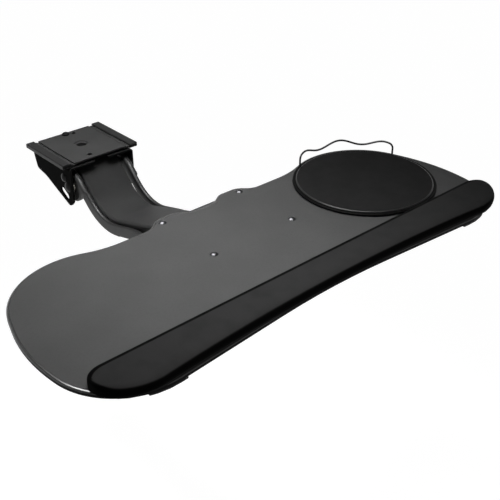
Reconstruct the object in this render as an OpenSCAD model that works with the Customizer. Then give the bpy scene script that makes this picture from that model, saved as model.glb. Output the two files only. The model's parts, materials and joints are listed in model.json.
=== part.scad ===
// Keyboard tray on a swan-neck arm: a glide carriage for an under-desk track, a swivel bracket,
// a parallel-link arm, a tilt head, a dog-bone tray with a palm rest and a round mouse platform.
// Origin on the swivel axis at the top face of the glide plate. +X right, +Y rear, +Z up, millimetres.

/* [Carriage] */
// Width of the glide plate across its wings
plate_w = 130; // [120:1:150]
// Length of the glide plate along the track
plate_l = 106; // [90:1:130]
// Sheet thickness of the glide plate
plate_t = 2.5; // [2:0.1:3.5]
// Width of the raised panel between the wings
panel_w = 92; // [70:1:96]
// Step from the panel down to the wings
wing_drop = 1.4; // [0.5:0.1:1.4]
// Width of the coined line between the panel and a wing
groove_w = 2.2; // [1:0.1:3]
// Depth of the coined line below the wing
groove_d = 1.2; // [0.5:0.1:1.4]
// Width of a glide strip
strip_w = 14.5; // [11:0.5:18]
// How far a glide strip stands above the wing
strip_rise = 3; // [2:0.1:6]
// Diameter of the two service holes in the plate
service_hole_d = 7; // [4:0.1:10]
// Distance between the service holes along the track
service_hole_l = 84; // [60:1:90]
// Distance between the service holes across the track
service_hole_w = 24; // [12:1:40]
// Diameter of the swivel stud
stud_d = 10; // [8:0.1:14]
// Diameter of the swivel stud's head
stud_head_d = 16; // [14:0.1:20]
// Thickness of the swivel washer
washer_t = 3.5; // [3:0.1:6]
// Diameter of the swivel washer
washer_d = 60; // [40:1:80]
// Diameter of the rubber bumper on the plate's rear edge
bumper_d = 12; // [8:0.1:16]

/* [Swivel bracket] */
// Width of the bracket over its cheeks
bracket_w = 113; // [109:0.5:125]
// Sheet thickness of the bracket, the tilt head and the tray bracket
sheet_t = 3; // [2.5:0.1:3.2]
// Reach of the bracket behind the swivel axis
bracket_rear = 54; // [40:1:60]
// Reach of the bracket in front of the swivel axis
bracket_front = 57; // [54:0.5:62]
// Outer bend radius between the web and a cheek
bend_r = 5; // [3.5:0.5:8]
// Width of the notch in the web's front edge
notch_w = 24; // [12:1:40]
// Height of a cheek's nose below the web
nose_h = 66; // [62:0.5:74]
// Height of a cheek's heel below the web
heel_h = 33; // [24:0.5:40]
// Width of the slot in a cheek
cheek_slot_w = 11; // [8:0.1:12]

/* [Arm] */
// Distance from the swivel axis forward to the cover's shaft
shaft_reach = 35; // [33:0.5:38]
// Drop from the web to the cover's shaft
shaft_drop = 19; // [18.5:0.1:22]
// Diameter of the cover's shaft and of the head pins
shaft_d = 8; // [6:0.1:8.4]
// Diameter of the stub pins that carry the rails
stub_d = 10; // [8:0.1:11]
// Distance from the cover's shaft forward to the rails' stub pins
link_reach = 8.5; // [7.5:0.1:9.5]
// Distance from the cover's shaft down to the rails' stub pins
link_drop = 13; // [12.5:0.1:14.5]
// Width of the arm cover
cover_w = 72; // [66:0.5:73]
// Sheet thickness of the arm cover
cover_t = 3; // [2:0.1:3.5]
// Depth of the cover's side flanges
flange_h = 10; // [8:0.5:11]
// Radius of the roll at the cover's rear end
roll_r = 17.6; // [16:0.1:17.8]
// Fall of the cover behind its valley, in degrees
cover_fall = 46; // [42:1:48]
// Rise of the cover in front of its valley, in degrees
cover_rise = 17; // [14:1:20]
// Radius of the cover's valley
cover_valley_r = 60; // [50:1:70]
// Width of a rail at its knuckle
rail_w = 10; // [9:0.1:10]
// Width of a rail along its neck
neck_w = 7; // [6:0.1:9]
// Depth of a rail
rail_h = 16; // [14:0.1:18]
// Radius of a rail's knuckle
knuckle_r = 25; // [24:0.1:26]
// Fall of the rails behind their valley, in degrees
rail_fall = 43; // [40:1:45]
// Rise of the rails in front of their valley, in degrees
rail_rise = 15; // [12:1:17]
// Radius of the rails' valley
rail_valley_r = 66; // [58:1:74]
// Length of the rails' level run to their front pins
rail_level = 95; // [80:1:110]
// Travel of the arm below rest, in degrees
travel_down = 28; // [15:1:30]
// Travel of the arm above rest, in degrees
travel_up = 10; // [5:1:12]

/* [Lift springs] */
// Wire diameter of the lift springs
spring_wire = 3; // [2:0.1:3.2]
// Mean diameter of the coils
spring_d = 16.8; // [16.4:0.1:18]
// Number of coils
spring_coils = 5; // [3:1:5]
// Clear gap between two coils
spring_gap = 0.6; // [0.5:0.05:0.8]

/* [Tilt head] */
// Width of the tilt head over its side plates
head_w = 60; // [54:0.5:60]
// Distance from the head's upper pin forward to the tilt bolt
head_reach = 45; // [42:0.5:55]
// Distance from the head's upper pin up to the tilt bolt
head_rise = 29.5; // [27:0.5:34]
// Diameter of the tilt bolt
bolt_d = 8; // [6:0.1:10]
// Drop from the tray bracket to the tilt bolt
ear_drop = 17.7; // [16.5:0.1:22]
// Diameter of the tilt knob
knob_d = 30; // [26:0.5:32]
// Length of the tilt knob
knob_l = 22; // [20:0.5:30]

/* [Tray] */
// Width of the tray panel
tray_w = 670; // [650:1:740]
// Depth of the tray panel on its centre line, without the rear notch
tray_l = 257; // [250:1:275]
// Thickness of the tray panel
tray_t = 6; // [4:0.1:9]
// Overhang of the tray behind the tilt bolt
tray_back = 59; // [56:0.5:66]
// Depth of the waist in the rear edge
waist_l = 16; // [14:0.5:20]
// Depth of the centre notch in the rear edge
rear_notch_l = 14; // [12:0.5:15]
// Width of the centre notch at its floor
rear_notch_w = 36; // [30:0.5:42]
// Distance between the tray screws across the tray
screw_dx = 131.5; // [110:0.5:150]
// Distance between the tray screws from front to rear
screw_dy = 103.8; // [90:0.1:106]
// Diameter of the tray screws
screw_d = 6; // [4:0.1:6.4]
// Diameter of the tray screws' domed heads
screw_head_d = 11; // [9:0.1:14]

/* [Palm rest] */
// Length of the palm rest
palm_w = 636; // [600:1:644]
// Thickness of the palm rest's foam
palm_h = 15; // [10:0.5:24]
// Thickness of the palm rest's base
palm_base_t = 2; // [1.5:0.1:4]
// Depth of the palm rest on the centre line
palm_l = 48.5; // [40:0.5:52]
// How far the palm rest overhangs the tray's front edge at the centre
palm_over = 7; // [4:0.5:8]
// How far the palm rest's ends come forward of its middle
palm_bow = 13; // [10:0.5:16]
// Length of a palm clip
clip_w = 45; // [36:0.5:60]
// Distance between the middles of the two palm clips
clip_dx = 500; // [470:1:510]
// Thickness of a palm clip
clip_t = 2.2; // [1.5:0.1:4]

/* [Mouse platform] */
// Diameter of the mouse disc
disc_d = 200.5; // [180:0.5:204]
// Thickness of the mouse disc
disc_t = 3; // [3:0.1:6]
// Distance from the tray's middle to the disc's axis
disc_x = 214; // [210:0.5:230]
// Distance from the tray's rear edge to the disc's axis
disc_back = 109; // [106:0.5:114]
// Thickness of the mouse pad
pad_t = 1.5; // [1:0.1:3]
// Rim left open round the mouse pad
pad_rim = 4.5; // [4.2:0.1:8]
// Thickness of the glide ring under the disc
ring_t = 1; // [0.6:0.1:2]
// Diameter of the disc's pivot bolt
pivot_d = 10; // [6:0.1:12]
// Wire diameter of the mouse fence
fence_wire = 2.8; // [2:0.1:3]
// Mean height of the fence above the pad
fence_h = 12.3; // [12:0.1:20]
// Height of the fence's waves, from the mean to a crest
fence_wave = 4; // [1:0.1:4.5]
// Angle of the disc's rim that the fence spans, in degrees
fence_span = 95; // [80:1:110]
// Direction of the middle of the fence, in degrees
fence_dir = 64.5; // [40:0.5:90]

/* [Fits] */
// Radial clearance of a running fit
fit = 0.05; // [0.02:0.01:0.1]
// Clearance between flat faces that move on each other
slip = 0.05; // [0.03:0.01:0.1]
// Clearance between a soft or sprung piece and its seat
seat = 0.3; // [0.2:0.05:0.5]

/* [Hidden] */
$fn = 64;

// Levels of the carriage and the swivel bracket
wing_top = -wing_drop;
web_top = -plate_t - washer_t;
web_low = web_top - sheet_t;
strip_low = web_top + 0.4;
cheek_in = bracket_w / 2 - sheet_t;
stud_sink = 1;
spring_washer_t = 2;
swivel_nut_h = 6.5;
stud_tail = 1.5;

// Pivots of the arm as [y, z]
shaft_r = shaft_d / 2;
stub_r = stub_d / 2;
shaft_at = [-shaft_reach, web_low - shaft_drop];
link = [-link_reach, -link_drop];
stub_at = shaft_at + link;
link_r = norm(link);
shaft_angle = atan2(link_drop, link_reach);
rivet_h = 3;
washer_clear = 0.8;

// Path of the rails' crest from the knuckle to the front pin, and of the cover's top face
rail_gap_share = 8 / 15;
rail_gap = (cheek_in - cover_w / 2 - rail_w) * rail_gap_share;
rail_in = cover_w / 2 + rail_gap;
rail_out = rail_in + rail_w;
rail_round_share = 0.46;
rail_bevel = 2.5;
rail_proud = 0.4;
rail_start = concat(stub_at - (knuckle_r + rail_proud) * left(180 + rail_fall), [180 + rail_fall]);
rail_shoulder_l = 23;
rail_step_l = 4;
rail_fall_l = 13;
rail_rise_l = 37;
rail_crown_r = 100;
rail_runs = [[rail_shoulder_l], [rail_step_l], [rail_fall_l], [rail_valley_r, -rail_fall - rail_rise],
             [rail_rise_l], [rail_crown_r, rail_rise], [rail_level]];
rail_path = stations(rail_start, rail_runs);
rail_end = rail_path[len(rail_path) - 1];
roll_lap = 15;
cover_start = concat(shaft_at - roll_r * left(180 - roll_lap), [180 - roll_lap]);
cover_fall_l = 46.5;
cover_rise_l = 100;
cover_crown_r = 80;
cover_lip_l = 30;
cover_runs = [[roll_r, roll_lap + cover_fall], [cover_fall_l], [cover_valley_r, -cover_fall - cover_rise],
              [cover_rise_l], [cover_crown_r, cover_rise], [cover_lip_l]];
cover_round = 5;
cover_path = stations(cover_start, cover_runs);
cover_end = cover_path[len(cover_path) - 1];

// Front pivots: the head's two pins and the tilt bolt
low_pin_at = [rail_end.x, rail_end.y - rail_h / 2];
high_pin_at = low_pin_at - link;
tilt_at = high_pin_at + [-head_reach, head_rise];
head_in = head_w / 2 - sheet_t;
head_out = head_w / 2;
eye_r = 11;
cover_eye_r = 9;
ear_run = 52;
head_clear = 2;
bush_t = 1.5;
bush_flange = rail_gap / 4;
tilt_washer_t = 0.9;
ear_in = head_out + tilt_washer_t + 2 * slip;
ear_out = ear_in + sheet_t;

// Levels and places of the tray
bracket_low = tilt_at.y + ear_drop;
tray_low = bracket_low + sheet_t;
tray_top = tray_low + tray_t;
rear_y = tilt_at.x + tray_back;
front_y = rear_y - tray_l;
screw_y = rear_y - 12.8;
screw_at = [for (x = [-1, 1], y = [screw_y - screw_dy, screw_y]) [x * screw_dx / 2, y]];
nut_h = 5;
bracket_margin = 10;

// Tray outline as corner points of the right half, each with its rounding radius
half_w = tray_w / 2;
notch_x = rear_notch_w / 2;
front_corner = [half_w - 11.6, front_y - 21.9];
front_mid_y = front_y + 3.3;
front_slope = atan2(front_mid_y - front_corner.y, front_corner.x);
front_edge_l = norm([front_corner.x, front_corner.y - front_mid_y]);
front_straight_l = 240;
front_bow_r = (front_edge_l - front_straight_l) / tan(front_slope);
tray_half = [
    [notch_x, rear_y - rear_notch_l, 18],
    [notch_x + 20, rear_y, 18],
    [70, rear_y, 25],
    [87, rear_y - waist_l, 25],
    [half_w - 176.8, rear_y - waist_l, 130],
    [half_w - 48.1, rear_y + 31.8, 104],
    [half_w + 4.2, rear_y - 137.8, 240],
    [front_corner.x, front_corner.y, 90]
];
tray_outline = rounded(concat(tray_half, [[0, front_mid_y, front_bow_r]], flipped(tray_half)));

// Palm rest: straight rear edge, bowed front edge, round ends
palm_low = tray_top + palm_base_t;
palm_front = front_y - palm_over;
palm_rear = palm_front + palm_l;
palm_end_y = palm_rear - 18;
palm_rear_round = 22;
palm_front_round = 58;
palm_stations = 40;
palm_ring = 15;
palm_inset = 3;
clip_l = 24;
tray_front = [for (p = tray_outline) if (p.x >= 0 && p.y < (rear_y + front_y) / 2) p];
clip_lap = 1.1;
clip_front = lookup(clip_dx / 2, tray_front) - clip_lap;
clip_screw_d = 4;
clip_screw_y = clip_front + 14;
clip_screw_bite = 1.5;

// Mouse platform
disc_r = disc_d / 2;
disc_at = [disc_x, rear_y - disc_back];
disc_low = tray_top + ring_t + slip;
disc_top = disc_low + disc_t;
pad_top = disc_top + pad_t;
pivot_head_d = 18;
pivot_head_h = 2;
fence_r = disc_r - pad_rim / 2;
fence_mean = pad_top + fence_h;
fence_waves = 2.4;
fence_steps = 56;

// Direction to the left of a heading in the side view
function left(heading) = [-sin(heading), cos(heading)];

// Pose [y, z, heading] at the end of a run: [length] is straight, [radius, turn] is an arc
function advance(p, run) =
    len(run) == 1
    ? [p.x + run[0] * cos(p.z), p.y + run[0] * sin(p.z), p.z]
    : let (reach = sign(run[1]) * run[0],
           centre = [p.x, p.y] + reach * left(p.z),
           end = centre - reach * left(p.z + run[1]))
      [end.x, end.y, p.z + run[1]];

function pose(start, runs, i) = i == 0 ? start : advance(pose(start, runs, i - 1), runs[i - 1]);

// Outline with every corner [x, y, radius] rounded by a tangent arc
function unit(v) = v / norm(v);
function flat(p) = [p.x, p.y];
function flipped(points) = [for (i = [len(points) - 1:-1:0]) [-points[i].x, points[i].y, points[i].z]];
function corner_arc(a, b, c, r) =
    let (u = unit(a - b),
         v = unit(c - b),
         half = acos(u * v) / 2,
         centre = b + unit(u + v) * r / sin(half),
         from = b + u * r / tan(half) - centre,
         side = sign(cross(b - a, c - b)),
         turn = 180 - 2 * half,
         steps = ceil(turn / 12) + 2)
    [for (i = [0:steps]) centre + r * [cos(atan2(from.y, from.x) + side * turn * i / steps),
                                       sin(atan2(from.y, from.x) + side * turn * i / steps)]];
function rounded(points) =
    let (n = len(points))
    [for (i = [0:n - 1])
        let (p = points[i])
        each p.z > 0
            ? corner_arc(flat(points[(i + n - 1) % n]), flat(p), flat(points[(i + 1) % n]), p.z)
            : [flat(p)]];

// Points on a circle from one angle to another
function arc(centre, r, from, to) =
    let (steps = ceil(abs(to - from) / 12))
    [for (i = [0:steps])
        let (a = from + (to - from) * i / steps)
        centre + r * [cos(a), sin(a)]];

// Side view: the drawing's axes become Y and Z, and its thickness runs along X from x0
module side_plate(x0, t) {
    rotate([90, 0, 90])
        translate([0, 0, x0])
            linear_extrude(t)
                children();
}

// Front view: the drawing's axes become X and Z, and its length runs along Y from y0
module front_bar(y0, l) {
    translate([0, y0 + l, 0])
        rotate([90, 0, 0])
            linear_extrude(l)
                children();
}

// Round bar along X at a side-view point
module rod(at, r, x0, x1) {
    translate([x0, at.x, at.y])
        rotate([0, 90, 0])
            cylinder(r = r, h = x1 - x0);
}

// Round sleeve along X
module sleeve(at, r, bore, x0, x1) {
    difference() {
        rod(at, r, x0, x1);
        rod(at, bore, x0 - 1, x1 + 1);
    }
}

// Domed head along X, its flat face at x0 and its dome towards +X
module dome(at, r, h, x0) {
    ball_r = (r * r + h * h) / (2 * h);
    translate([x0, at.x, at.y])
        rotate([0, 90, 0])
            rotate_extrude()
                intersection() {
                    translate([0, h - ball_r])
                        circle(r = ball_r);
                    square([r, h]);
                }
}

module both_sides() {
    children();
    mirror([1, 0, 0])
        children();
}

// Stations [y, z, heading] along a path: the ends of its runs and every few degrees of its arcs
function stations(start, runs) =
    [start, for (i = [0:len(runs) - 1])
        let (p = pose(start, runs, i),
             run = runs[i],
             steps = len(run) == 1 ? 1 : ceil(abs(run[1]) / 6))
        for (k = [1:steps]) advance(p, len(run) == 1 ? run : [run[0], run[1] * k / steps])];

// One skin through a section at each station; section points are [depth below the crest, x]
// and end_cap lists the triangles that close the section
module swept(path, sections, end_cap) {
    n = len(sections[0]);
    last = (len(path) - 1) * n;
    points = [for (i = [0:len(path) - 1])
        let (down = left(path[i].z))
        each [for (q = sections[i]) [q.y, path[i].x + q.x * down.x, path[i].y + q.x * down.y]]];
    skin = [for (i = [0:len(path) - 2], k = [0:n - 1])
        let (a = i * n + k, b = i * n + (k + 1) % n)
        each [[a, b + n, b], [a, a + n, b + n]]];
    front_cap = [for (t = end_cap) [last + t[2], last + t[1], last + t[0]]];
    polyhedron(points, concat(end_cap, skin, front_cap), convexity = 6);
}

// Quarter round from depth r at the side to the crest, as [depth, distance in from the side]
function quarter(r) = [for (a = [0:22.5:90]) [r * (1 - sin(a)), r * (1 - cos(a))]];

// Hexagon nut or bolt head standing on z = 0
module hexagon(across, h) {
    cylinder(d = across / cos(30), h = h, $fn = 6);
}

// Box hanging from its top edge, with the two upper corners rounded
module hanging_box(w, h, r) {
    translate([-w / 2, -h])
        square([w, h - r]);
    translate([-w / 2 + r, -h])
        square([w - 2 * r, h]);
    for (x = [-1, 1])
        translate([x * (w / 2 - r), -r])
            circle(r = r);
}

// Closed tube of six or eight sides through a list of points, with a flat end at each side
function tube_rings(path, r, sides, across) =
    [for (i = [0:len(path) - 1])
        let (a = path[max(i - 1, 0)],
             b = path[min(i + 1, len(path) - 1)],
             along = unit(b - a),
             u = unit(cross(along, across)),
             v = cross(u, along))
        each [for (k = [0:sides - 1]) path[i] + r * (u * cos(360 * k / sides) + v * sin(360 * k / sides))]];
function tube_faces(n, sides) = concat(
    [for (i = [0:n - 2], k = [0:sides - 1])
        let (a = i * sides + k, b = i * sides + (k + 1) % sides)
        each [[a, b, b + sides], [a, b + sides, a + sides]]],
    [for (k = [1:sides - 2]) [0, k + 1, k]],
    [for (k = [1:sides - 2])
        let (a = (n - 1) * sides)
        [a, a + k, a + k + 1]]
);
module tube(path, r, sides, across) {
    polyhedron(tube_rings(path, r, sides, across), tube_faces(len(path), sides), convexity = 8);
}

module glide_plate() {
    half = panel_w / 2;
    flank = 0.3;
    groove_z = wing_top - groove_d;
    joggle = 1.5;
    right_top = [[half, 0], [half + flank, groove_z], [half + groove_w - flank, groove_z],
                 [half + groove_w, wing_top], [plate_w / 2, wing_top]];
    right_low = [[plate_w / 2, wing_top - plate_t], [half - plate_t, wing_top - plate_t],
                 [half - plate_t - joggle, -plate_t]];
    right = concat(right_top, right_low);
    other = [for (i = [len(right) - 1:-1:0]) [-right[i].x, right[i].y]];
    color("#3a3a3c")
        difference() {
            front_bar(-plate_l / 2 - 1, plate_l)
                polygon(concat(right, other));
            translate([0, 0, -stud_sink])
                cylinder(d = stud_head_d + 6, h = stud_sink + 1);
            translate([0, 0, -plate_t - 1])
                cylinder(r = stud_d / 2 + fit, h = plate_t + 2);
            for (s = [-1, 1])
                translate([s * service_hole_w / 2, s * service_hole_l / 2, -plate_t - 1])
                    cylinder(d = service_hole_d, h = plate_t + 2);
        }
}

module glide_strip() {
    out = plate_w / 2 + 2;
    lip = 1;
    top = wing_top + strip_rise;
    front_bar(-plate_l / 2 - 2, plate_l + 2)
        difference() {
            polygon([[out - strip_w, strip_low], [out - lip, strip_low], [out, strip_low + lip],
                     [out, top - lip], [out - lip, top], [out - strip_w + lip, top],
                     [out - strip_w, top - lip]]);
            translate([out - strip_w - 1, wing_top - plate_t - slip])
                square([plate_w / 2 + slip - out + strip_w + 1, plate_t + 2 * slip]);
        }
}

module glide_strip_left() {
    color("#4a4a4c")
        mirror([1, 0, 0])
            glide_strip();
}

module glide_strip_right() {
    color("#4a4a4c")
        glide_strip();
}

module rear_bumper() {
    flat_h = 1.5;
    dome_h = 2.5;
    color("#151515")
        translate([0, plate_l / 2 - 1 - bumper_d / 2 - 0.5, 0]) {
            cylinder(d = bumper_d, h = flat_h);
            translate([0, 0, flat_h])
                rotate([0, -90, 0])
                    dome([0, 0], bumper_d / 2, dome_h, 0);
        }
}

module swivel_stud() {
    low = web_low - spring_washer_t - swivel_nut_h - stud_tail;
    head_h = 2;
    color("#8c8c8e") {
        translate([0, 0, low])
            cylinder(d = stud_d, h = -stud_sink - low);
        translate([0, 0, -stud_sink])
            rotate([0, -90, 0])
                dome([0, 0], stud_head_d / 2, head_h, 0);
    }
}

module swivel_washer() {
    color("#d8d6cc")
        translate([0, 0, web_top + slip])
            difference() {
                cylinder(d = washer_d, h = washer_t - slip);
                translate([0, 0, -1])
                    cylinder(r = stud_d / 2 + fit, h = washer_t + 2);
            }
}

module swivel_spring_washer() {
    rim = 22;
    color("#7d7d80")
        translate([0, 0, web_low - spring_washer_t])
            rotate_extrude()
                polygon([[stud_d / 2 + fit, 0], [stud_d / 2 + 3, 0], [rim / 2, spring_washer_t - 1.2],
                         [rim / 2, spring_washer_t - slip], [rim / 2 - 2, spring_washer_t - slip],
                         [stud_d / 2 + fit, 1.2]]);
}

module swivel_nut() {
    color("#8c8c8e")
        translate([0, 0, web_low - spring_washer_t - swivel_nut_h])
            difference() {
                hexagon(15, swivel_nut_h);
                translate([0, 0, -1])
                    cylinder(r = stud_d / 2 + fit, h = swivel_nut_h + 2);
            }
}

// Side view of a cheek, from the web down to the nose that carries the arm
module cheek_outline() {
    top = web_top + 1;
    polygon(rounded([
        [bracket_rear, top, 0], [-bracket_front, top, 0],
        [-bracket_front, web_top - nose_h + 10, 9], [-bracket_front + 11, web_top - nose_h - 1, 9],
        [stub_at.x + 63, web_top - heel_h - 5, 16], [bracket_rear - 10, web_top - heel_h, 7],
        [bracket_rear - 6, web_top - 20, 20]
    ]));
}

module cheek_slot() {
    a = stub_at + [15.5, -10.5];
    b = stub_at + [5.1, -16.7];
    heading = atan2(b.y - a.y, b.x - a.x);
    polygon(concat(arc(b, cheek_slot_w / 2, heading - 90, heading + 90),
                   arc(a, cheek_slot_w / 2, heading + 90, heading + 270)));
}

module swivel_bracket() {
    wide = bracket_w + 2;
    notch_l = 7;
    color("#1c1c1e")
        difference() {
            intersection() {
                front_bar(-bracket_front, bracket_front + bracket_rear)
                    difference() {
                        translate([0, web_top])
                            hanging_box(bracket_w, nose_h + 4, bend_r);
                        translate([0, web_low])
                            hanging_box(bracket_w - 2 * sheet_t, nose_h + 4, bend_r - sheet_t + 0.5);
                    }
                side_plate(-wide / 2, wide)
                    cheek_outline();
            }
            translate([-notch_w / 2, -bracket_front - 1, web_low - 1])
                cube([notch_w, notch_l + 1, sheet_t + 2]);
            translate([0, 0, web_low - 1])
                cylinder(r = stud_d / 2 + fit, h = sheet_t + 2);
            rod(shaft_at, shaft_r + fit, -wide / 2, wide / 2);
            rod(stub_at, stub_r + fit, -wide / 2, wide / 2);
            side_plate(-wide / 2, wide)
                cheek_slot();
        }
}

module cover_shaft() {
    color("#77777a") {
        rod(shaft_at, shaft_r, -bracket_w / 2, bracket_w / 2);
        both_sides()
            dome(shaft_at, shaft_r + 3, rivet_h, bracket_w / 2);
    }
}

module rail_stub_pins() {
    collar_t = rail_gap / 2;
    color("#77777a")
        both_sides() {
            rod(stub_at, stub_r, rail_in - slip, bracket_w / 2);
            rod(stub_at, stub_r + 2, rail_in - slip - collar_t, rail_in - slip);
            dome(stub_at, stub_r + 3, rivet_h, bracket_w / 2);
        }
}

module rail_washers() {
    color("#c9c6b8")
        both_sides()
            sleeve(stub_at, link_r - shaft_r - washer_clear, stub_r + fit, rail_out + slip, cheek_in);
}

// Channel with rounded shoulders, open below
function cover_section() =
    let (half = cover_w / 2,
         side = [for (q = quarter(cover_round)) [q.x, half - q.y]],
         n = len(side))
    concat([[flange_h, half]], side,
           [for (i = [n - 1:-1:0]) [side[i].x, -side[i].y]],
           [[flange_h, -half], [flange_h, -half + cover_t], [cover_t, -half + cover_t],
            [cover_t, half - cover_t], [flange_h, half - cover_t]]);
function cover_cap(n) =
    let (middle = (n - 4) / 2)
    concat([[n - 2, n - 1, 0], [n - 2, middle, n - 3]],
           [for (k = [0:middle - 1]) [n - 2, k, k + 1]],
           [for (k = [middle:n - 5]) [n - 3, k, k + 1]]);

module arm_cover() {
    ear_x = cover_w / 2 - cover_t;
    section = cover_section();
    toe = [cover_end.x + 1, cover_end.y - cover_round - 0.7];
    ear_from = advance(pose(cover_start, cover_runs, 3), [cover_rise_l - ear_run]);
    down = left(ear_from.z);
    crest = [ear_from.x, ear_from.y] + (cover_round + 0.7) * down;
    ear_deep = (flange_h - cover_round - 1.2) * down;
    color("#2c2c2e")
        difference() {
            union() {
                swept(cover_path, [for (p = cover_path) section], cover_cap(len(section)));
                both_sides() {
                    rod(shaft_at, cover_eye_r, ear_x, cover_w / 2);
                    rod(high_pin_at, cover_eye_r, ear_x, cover_w / 2);
                    side_plate(ear_x, cover_t)
                        polygon([toe, toe + [40, 0], crest, crest + ear_deep, low_pin_at + [rail_level, 0],
                                 high_pin_at + [6, -6.7], high_pin_at + [-8.2, 3.8]]);
                }
            }
            both_sides() {
                rod(shaft_at, shaft_r + bush_t + fit, ear_x - 1, cover_w / 2 + 1);
                rod(high_pin_at, shaft_r + bush_t + fit, ear_x - 1, cover_w / 2 + 1);
            }
        }
}

module cover_tube() {
    end = cover_w / 2 - cover_t;
    color("#3a3a3c")
        sleeve(shaft_at, shaft_r + 2, shaft_r + fit, -end, end);
}

module cover_bushes() {
    ear_x = cover_w / 2 - cover_t;
    color("#c9c6b8")
        both_sides()
            for (at = [shaft_at, high_pin_at]) {
                sleeve(at, shaft_r + bush_t, shaft_r + fit, ear_x, cover_w / 2 + bush_flange);
                sleeve(at, shaft_r + bush_t + 2, shaft_r + fit, cover_w / 2, cover_w / 2 + bush_flange);
            }
}

// Lift spring: rear leg under the web, coils round the cover's tube, front leg under the cover
spring_r = spring_d / 2;
spring_x0 = 27;
spring_pitch = spring_wire + spring_gap;
spring_rear = [15, web_low - spring_wire / 2 - seat];
spring_leg_l = 36;
spring_front = let (p = advance(pose(cover_start, cover_runs, 1), [spring_leg_l]))
    [p.x, p.y] + (cover_t + spring_wire / 2 + seat) * left(p.z);
function bearing(p) = atan2(p.y - shaft_at.y, p.x - shaft_at.x);
function tangent_lag(p) = acos(spring_r / norm(p - shaft_at));
spring_from = bearing(spring_rear) + tangent_lag(spring_rear);
spring_to = (bearing(spring_front) + 360) % 360 - tangent_lag(spring_front) + 360 * spring_coils;
spring_steps = ceil((spring_to - spring_from) / 45);
function coil_point(i) =
    let (a = spring_from + (spring_to - spring_from) * i / spring_steps)
    [spring_x0 - spring_pitch * (a - spring_from) / 360,
     shaft_at.x + spring_r * cos(a), shaft_at.y + spring_r * sin(a)];
spring_coil = [for (i = [0:spring_steps]) coil_point(i)];
spring_path = concat([[spring_x0, spring_rear.x, spring_rear.y]], spring_coil,
                     [[spring_coil[spring_steps].x, spring_front.x, spring_front.y]]);
spring_least = min([for (i = [0:spring_steps - 6], j = [i + 6:spring_steps])
                       norm(spring_coil[i] - spring_coil[j])]) - spring_wire;
echo(str("lift spring, least gap to itself: ", spring_least, " mm"));

module lift_spring() {
    tube(spring_path, spring_wire / 2, 6, [1, 0, 0]);
}

module lift_spring_left() {
    color("#5a5a5e")
        mirror([1, 0, 0])
            lift_spring();
}

module lift_spring_right() {
    color("#5a5a5e")
        lift_spring();
}

// Bar with a rounded crest, from the rail's inner side outwards
function rail_section(w) =
    let (side = quarter(rail_round_share * w),
         n = len(side))
    concat([[rail_h, rail_in + w]],
           [for (q = side) [q.x, rail_in + w - q.y]],
           [for (i = [n - 1:-1:0]) [side[i].x, rail_in + side[i].y]],
           [[rail_h, rail_in]]);
function fan(n) = [for (k = [1:n - 2]) [0, k, k + 1]];

// Curved slot in the knuckle that the cover's shaft passes through over the arm's travel
module knuckle_slot() {
    slot_r = shaft_r + 0.6;
    spare = 2;
    from = shaft_angle - travel_down - spare;
    span = travel_down + travel_up + 2 * spare;
    to = from + span;
    start = stub_at + link_r * [cos(from), sin(from)];
    end = stub_at + link_r * [cos(to), sin(to)];
    side_plate(rail_in - 1, rail_w + 2)
        polygon(concat(arc(stub_at, link_r + slot_r, from + 1, to - 1),
                       arc(end, slot_r, to, to + 180),
                       arc(stub_at, link_r - slot_r, to - 1, from + 1),
                       arc(start, slot_r, from + 180, from + 360)));
}

module arm_rail() {
    difference() {
        union() {
            rotate([90, 0, 90])
                translate([stub_at.x, stub_at.y, 0])
                    rotate_extrude()
                        polygon([[0, rail_in], [knuckle_r - rail_bevel, rail_in],
                                 [knuckle_r, rail_in + rail_bevel], [knuckle_r, rail_out - rail_bevel],
                                 [knuckle_r - rail_bevel, rail_out], [0, rail_out]]);
            swept(rail_path, [for (i = [0:len(rail_path) - 1]) rail_section(i < 2 ? rail_w : neck_w)],
                  fan(len(rail_section(rail_w))));
            rod(low_pin_at, eye_r, rail_in, rail_in + neck_w);
        }
        rod(stub_at, stub_r + bush_t + fit, rail_in - 1, rail_out + 1);
        rod(low_pin_at, shaft_r + bush_t + fit, rail_in - 1, rail_out + 1);
        knuckle_slot();
    }
}

module arm_rail_left() {
    color("#343436")
        mirror([1, 0, 0])
            arm_rail();
}

module arm_rail_right() {
    color("#343436")
        arm_rail();
}

module rail_bushes() {
    color("#b08d57")
        both_sides() {
            sleeve(stub_at, stub_r + bush_t, stub_r + fit, rail_in, rail_out);
            sleeve(low_pin_at, shaft_r + bush_t, shaft_r + fit, rail_in, rail_in + neck_w);
        }
}

// Curved strap under the rails' valley that ties the two rails together
module rail_tie() {
    start = pose(rail_start, rail_runs, 3);
    centre = [start.x, start.y] - rail_valley_r * left(start.z);
    span = 16;
    lead = 6;
    low_r = rail_valley_r + rail_h;
    half = rail_in + neck_w / 2;
    color("#2c2c2e")
        rotate([90, 0, 90])
            translate([centre.x, centre.y, -half])
                rotate(-90 - lead - span / 2)
                    rotate_extrude(angle = span)
                        translate([low_r, 0])
                            square([sheet_t, 2 * half]);
}

// Side view of a head plate, round its two pins and the tilt bolt
module head_outline() {
    sweep_r = norm([cover_end.x, cover_end.y - cover_t] - high_pin_at);
    brow_r = sweep_r - head_clear;
    polygon(rounded([
        concat(high_pin_at + brow_r * [cos(25), sin(25)], [9]),
        concat(high_pin_at + brow_r * [cos(73), sin(73)], [9]), [tilt_at.x + 12, tilt_at.y + 15, 10],
        [tilt_at.x - 13, tilt_at.y + 14, 10], [tilt_at.x - 14, tilt_at.y - 12, 10],
        [low_pin_at.x - 12, low_pin_at.y - 13, 10], [low_pin_at.x + 13, low_pin_at.y - 12, 10]
    ]));
}

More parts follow.
